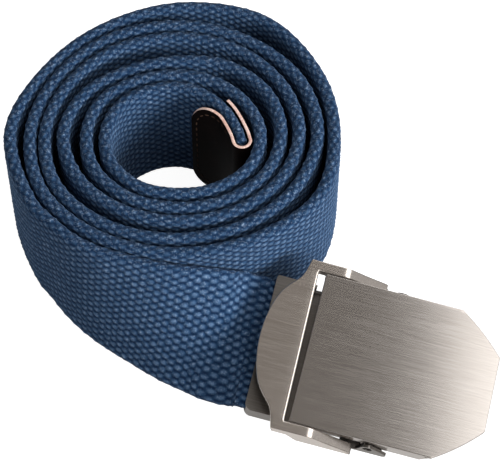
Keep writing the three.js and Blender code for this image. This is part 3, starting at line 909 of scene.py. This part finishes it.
@dataclass
class CoverPlate:
    """The brushed cover with two cut corners, its side flanges, and the cam under it."""

    axes: BuckleAxes
    left_near: float = -0.7
    left_far: float = -0.2
    length: float = 52.5
    width: float = 43.9
    sheet: float = 1.4
    rounding: float = 0.35
    cut_length: float = 12.9
    cut_width: float = 11.0
    cut_bulge: float = 0.8
    flange: float = 1.0
    shallow: float = 2.9
    deep: float = 5.1
    step_start: float = 23.5
    step_end: float = 26.5
    flange_end: float = 37.0
    flange_tip: float = 39.0
    pin: tuple[float, float] = (22.3, -4.4)
    cam_radius: float = 1.9
    cam_reach: float = 18.0
    cam_nose: float = 3.2
    cam_half: float = 1.5
    cam_top: float = -1.0
    lug_radius: float = 2.2
    lug_gap: float = 0.02
    tip_drop: float = 0.05

    def outline(self) -> Outline:
        """The plate's outline, counterclockwise from its lower left corner."""
        half = self.width / 2
        start, end = (self.length - self.cut_length, half), (self.length, half - self.cut_width)
        middle = ((start[0] + end[0]) / 2 + self.cut_bulge * self.cut_width / 12,
                  (start[1] + end[1]) / 2 + self.cut_bulge * self.cut_length / 12)
        bow = []
        for share in np.linspace(0.0, 1.0, 9):
            weights = ((1 - share) ** 2, 2 * share * (1 - share), share ** 2)
            bow.append(tuple(sum(weight * point[axis] for weight, point in zip(weights, (start, middle, end)))
                             for axis in (0, 1)))
        return [(self.left_near, -half), *((x, -y) for x, y in bow), *reversed(bow), (self.left_far, half)]

    def build(self) -> bpy.types.Object:
        """The plate drawn down from its outline, with strips of its underside drawn further as flanges."""
        metal = SheetMetal(self.axes)
        metal.sheet(self.outline(), 0.0)
        inner = self.width / 2 - self.flange
        for side in (-inner, inner):
            metal.crease((0.0, side, 0.0), (0.0, 1.0, 0.0))
        for place in (self.step_start, self.step_end, self.flange_end, self.flange_tip):
            metal.crease((place, 0.0, 0.0), (1.0, 0.0, 0.0))
        metal.draw_down(list(metal.bm.faces), self.sheet)
        strips = [face for face in metal.side_strips(-self.sheet, inner)
                  if face.calc_center_median().x < self.flange_tip]
        for vert in metal.draw_down(strips, self.shallow - self.sheet):
            along = vert.co.x
            if along > self.flange_tip - SLACK:
                vert.co.z = -self.sheet - self.tip_drop
            elif along > self.step_end - SLACK:
                vert.co.z = -self.deep
        metal.soften(self.rounding)
        self.add_cam(metal)
        for side in (-1.0, 1.0):
            metal.bar(ring(self.pin, self.lug_radius), side * inner, side * (self.width / 2 - self.lug_gap))
        return metal.finish("brushed_cover", "cover_plate", Body.COVER, COVER_METAL)

    def add_cam(self, metal: SheetMetal) -> None:
        """The cam on the pin: a round bar, the web that joins it to the plate, and its blunt nose."""
        along, depth = self.pin
        half, nose = self.cam_half, depth - self.cam_nose
        metal.bar(ring(self.pin, self.cam_radius), -self.cam_reach, self.cam_reach)
        web = [(along - half, depth), (along + half, depth), (along + half, self.cam_top),
               (along - half, self.cam_top)]
        tooth = [(along - half, depth), (along - half / 2, nose),
                 (along + half / 2, nose), (along + half, depth)]
        for points in (web, tooth):
            metal.bar(points, -self.cam_reach, self.cam_reach)


@dataclass
class FormedFrame:
    """The wavy crest and the two arms that bend down beside the cover, pressed from one sheet."""

    axes: BuckleAxes
    right_near: float = -1.9
    right_far: float = -2.4
    sheet: float = 1.7
    arm_inner: float = 22.35
    arm_outer: float = 25.2
    arm_end: float = 17.8
    arm_depth: float = 6.8
    side_start: float = -4.75
    side_end: float = -0.6
    side_depth: float = 3.2
    deep_start: float = 2.6
    rounding: float = 0.28
    pressed: float = 0.07
    press_width: float = 0.6
    press_gap: float = 0.9
    press_end: float = 0.2
    first_crease: float = 1.0
    bend_creases: tuple[float, ...] = (4.2, 4.8, 5.4, 6.0, 6.6, 7.2, 7.8, 8.6, 10.0, 11.2, 12.4, 15.0)
    bend: tuple[float, float] = (4.5, 7.9)
    bend_slope: float = 0.46
    ease: tuple[float, float] = (10.0, 12.5)
    ease_slope: float = 0.08
    wave: tuple[tuple[float, float], ...] = (
        (0.0, -14.2), (4.0, -14.0), (8.0, -13.3), (11.2, -12.4), (13.8, -11.3),
        (16.2, -9.7), (17.8, -8.1), (19.2, -6.8), (21.2, -6.0), (25.2, -5.1),
    )

    def right(self, across: float) -> float:
        """Where the crest's straight right edge lies at a place across the buckle."""
        return float(np.interp(across, (-self.arm_outer, self.arm_outer), (self.right_near, self.right_far)))

    def wavy_edge(self) -> Outline:
        """The crest's left edge from its far corner to its near one, eased through the wave's places."""
        across, along = np.array(self.wave).T
        places = np.concatenate((-across[::-1], across[1:]))
        heights = np.concatenate((along[::-1], along[1:]))
        steps = np.linspace(self.arm_outer, -self.arm_outer, 61)
        eased = np.interp(steps, places, heights)
        for _ in range(2):
            eased[1:-1] = (eased[:-2] + 2 * eased[1:-1] + eased[2:]) / 4
        return [(float(x), float(y)) for x, y in zip(eased, steps)]

    def drop(self, along: float) -> float:
        """How far an arm's top lies under the crest's face."""
        places = np.linspace(4.0, self.arm_end, 200)
        slope = self.bend_slope * smoothstep(places, *self.bend)
        slope -= self.ease_slope * smoothstep(places, *self.ease)
        fall = np.concatenate(([0.0], np.cumsum((slope[1:] + slope[:-1]) / 2 * np.diff(places))))
        return float(np.interp(along, places, fall))

    def build(self) -> bpy.types.Object:
        """The outline drawn down to the sheet's thickness, then the arms drawn deeper and bent."""
        metal = SheetMetal(self.axes)
        inner, outer, end = self.arm_inner, self.arm_outer, self.arm_end
        metal.sheet([(end, -outer), (end, -inner), (self.right(-inner), -inner), (self.right(inner), inner),
                     (end, inner), (end, outer), *self.wavy_edge()], 0.0)
        for place in (self.side_start, self.side_end, self.first_crease, self.deep_start, *self.bend_creases):
            metal.crease((place, 0.0, 0.0), (1.0, 0.0, 0.0))
        pressed_reach = inner - self.press_gap
        for place in (-inner, -pressed_reach, pressed_reach, inner):
            metal.crease((0.0, place, 0.0), (0.0, 1.0, 0.0))
        slant = (self.right_near - self.right_far) / (2 * outer)
        metal.crease((self.right(0.0) - self.press_width, 0.0, 0.0), (1.0, slant, 0.0))
        metal.draw_down(list(metal.bm.faces), self.sheet)
        undersides = [face for face in metal.side_strips(-self.sheet, inner)
                      if face.calc_center_median().x > self.side_start]
        for vert in metal.draw_down(undersides, self.arm_depth - self.sheet):
            if vert.co.x < self.deep_start - SLACK:
                vert.co.z = -float(np.interp(vert.co.x, (self.side_end, self.deep_start),
                                             (self.side_depth, self.arm_depth)))
        metal.soften(self.rounding)
        for vert in metal.bm.verts:
            share = (vert.co.z + self.arm_depth) / self.arm_depth
            vert.co.z -= self.drop(vert.co.x) * share
            if abs(vert.co.y) < pressed_reach + 0.05 and vert.co.z > -0.5:
                right = self.right(vert.co.y)
                press = smoothstep(np.array(vert.co.x), right - self.press_width, right - self.press_end)
                vert.co.z -= self.pressed * float(press)
        # The frame's lighter base is painted light for the crest's tilt.
        return metal.finish("formed_frame", "buckle_frame", Body.BELT, FRAME_METAL_PAINTED_LIGHTER)


@dataclass
class StrapBox:
    """The grey box that holds the webbing's end, with its tray, wings and ears."""

    axes: BuckleAxes
    rounding: float = 0.2

    def build(self) -> bpy.types.Object:
        """A copy of the model's box with its triangles merged into flat faces and its edges rounded."""
        metal = SheetMetal(self.axes)
        metal.bm.from_mesh(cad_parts["buckle_channel"].data)
        to_buckle = (Matrix.Scale(MM, 4) @ self.axes.matrix()).inverted()
        bmesh.ops.transform(metal.bm, matrix=to_buckle, verts=metal.bm.verts)
        bmesh.ops.remove_doubles(metal.bm, verts=metal.bm.verts, dist=1e-3)
        bmesh.ops.dissolve_limit(metal.bm, angle_limit=math.radians(1.0),
                                 verts=metal.bm.verts, edges=metal.bm.edges)
        metal.soften(self.rounding)
        return metal.finish("strap_box", "buckle_channel", Body.BELT, BOX_METAL)


@dataclass
class HingePin:
    """The pin through the ears, with a hollow in each end."""

    axes: BuckleAxes
    along: float = 22.3
    depth: float = 4.4
    radius: float = 1.0
    half: float = 22.6
    rim: float = 0.25
    taper: float = 0.1
    hollow: float = 0.6
    rounding: float = 0.08

    def build(self) -> bpy.types.Object:
        """A turned bar across the buckle whose end faces are set in."""
        metal = SheetMetal(self.axes)
        place = Matrix.Translation((self.along, 0.0, -self.depth)) @ Matrix.Rotation(math.pi / 2, 4, "X")
        bmesh.ops.create_cone(metal.bm, cap_ends=True, segments=24, radius1=self.radius, radius2=self.radius,
                              depth=2 * self.half, matrix=place)
        caps = [face for face in metal.bm.faces if len(face.verts) > 4]
        bmesh.ops.inset_individual(metal.bm, faces=caps, thickness=self.rim, depth=0.0)
        bmesh.ops.inset_individual(metal.bm, faces=caps, thickness=self.taper, depth=-self.hollow)
        metal.soften(self.rounding)
        # The pin's dark base is painted shade for the recess round its ends.
        return metal.finish("hollow_pin", "hinge_pin", Body.BELT, PIN_METAL_PAINTED_DARK)


@dataclass(frozen=True)
class SoftLight:
    """A rectangular soft light, in metres and watts, which metal may mirror or not."""

    name: str
    place: Place
    aim: Place
    size: tuple[float, float]
    power: float
    colour: Colour = WHITE
    mirrored: bool = True

    def add(self) -> None:
        """Sets the light up at its place, facing its aim."""
        data = bpy.data.lights.new(self.name, "AREA")
        data.shape = "RECTANGLE"
        data.size, data.size_y = self.size
        data.energy = self.power
        data.color = self.colour
        light = add_object(self.name, data)
        light.location = self.place
        light.rotation_euler = (Vector(self.aim) - Vector(self.place)).to_track_quat("-Z", "Y").to_euler()
        light.visible_glossy = self.mirrored


@dataclass
class Studio:
    """The camera, the pale floor and soft lights."""

    target: Vector = field(default_factory=lambda: Vector((0.62, -15.36, 38.0)))
    distance: float = 555.0
    elevation: float = 54.0
    lens: float = 143.86
    floor_glow: float = 0.04
    floor_mirrored: float = 0.35
    floor_seen: float = 0.9
    floor_grey: float = 0.45
    floor_reach: float = 3.0
    floor_gap: float = 0.05 * MM
    surround: float = 0.16
    lights: tuple[SoftLight, ...] = (
        SoftLight("panel", (0.494, -0.2, 0.8), (0.494, -0.2, 0.0), (0.42, 2.4), 5.8),
        SoftLight("dim panel", (-0.16, 0.0, 0.85), (-0.16, 0.0, 0.0), (0.84, 1.6), 0.29, (1.0, 0.84, 0.7)),
        SoftLight("side panel", (1.1, -0.2, 0.75), (0.0, 0.0, 0.0), (0.7, 2.0), 1.6),
        SoftLight("key", (1.28, -0.8, 0.52), (0.0, 0.0, 0.0), (0.7, 0.6), 34.0, mirrored=False),
        SoftLight("fill", (-0.9, -1.1, 0.9), (0.0, 0.0, 0.0), (0.9, 0.9), 6.5, mirrored=False),
    )

    def set_camera(self) -> None:
        """The camera at the photograph's angle, looking along +Y from above."""
        rise = math.radians(self.elevation)
        data = bpy.data.cameras.new("camera")
        data.lens = self.lens
        data.sensor_width = 36.0
        data.clip_start = 0.01
        camera = add_object("camera", data)
        back = Vector((0.0, -math.cos(rise), math.sin(rise)))
        camera.location = (self.target + back * self.distance) * MM
        camera.rotation_euler = Euler((math.pi / 2 - rise, 0.0, 0.0))
        bpy.context.scene.camera = camera

    def set_floor(self) -> None:
        """A wide pale floor just under the belt."""
        bm = bmesh.new()
        bmesh.ops.create_grid(bm, x_segments=1, y_segments=1, size=self.floor_reach)
        bmesh.ops.translate(bm, verts=bm.verts, vec=(0.0, 0.0, -self.floor_gap))
        floor = finish_mesh(bm, "floor", smooth=False)
        material, sheet, shader = new_material("pale floor")
        set_values(shader, {"Base Color": (self.floor_grey,) * 3 + (1.0,), "Roughness": 0.9,
                            "Specular IOR Level": 0.1, "Emission Color": (*WHITE, 1.0)})
        path = sheet.add("ShaderNodeLightPath")
        mirrored = sheet.ramp(path.outputs["Is Glossy Ray"], 0.0, 1.0, self.floor_glow, self.floor_mirrored)
        seen = sheet.times(path.outputs["Is Camera Ray"], self.floor_seen)
        sheet.link(sheet.plus(mirrored, seen), shader.inputs["Emission Strength"])
        floor.data.materials.append(material)

    def set_lights(self) -> None:
        """Panels over the right that the plates mirror beside a dim warm one, a key and a fill."""
        for light in self.lights:
            light.add()
        world = bpy.data.worlds.new("surround")
        bpy.context.scene.world = world
        world.use_nodes = True
        set_values(world.node_tree.nodes["Background"], {"Color": (*WHITE, 1.0), "Strength": self.surround})
        bpy.context.scene.view_settings.view_transform = "Standard"


def main() -> None:
    """Builds the studio and the belt, piece by piece."""
    logging.basicConfig(level=logging.INFO, format="%(name)s: %(message)s")
    studio = Studio()
    studio.set_camera()
    axes = BuckleAxes()
    line = WebbingLine(axes)
    tip = LeatherTip(line)
    makers = (Webbing(line).build, tip.build, tip.stitches, CoverPlate(axes).build, FormedFrame(axes).build,
              StrapBox(axes).build, HingePin(axes).build)
    for make in makers:
        piece = make()
        LOG.info("%s: %d faces", piece.name, len(piece.data.polygons))
    studio.set_floor()
    studio.set_lights()


if __name__ == "__main__":
    main()
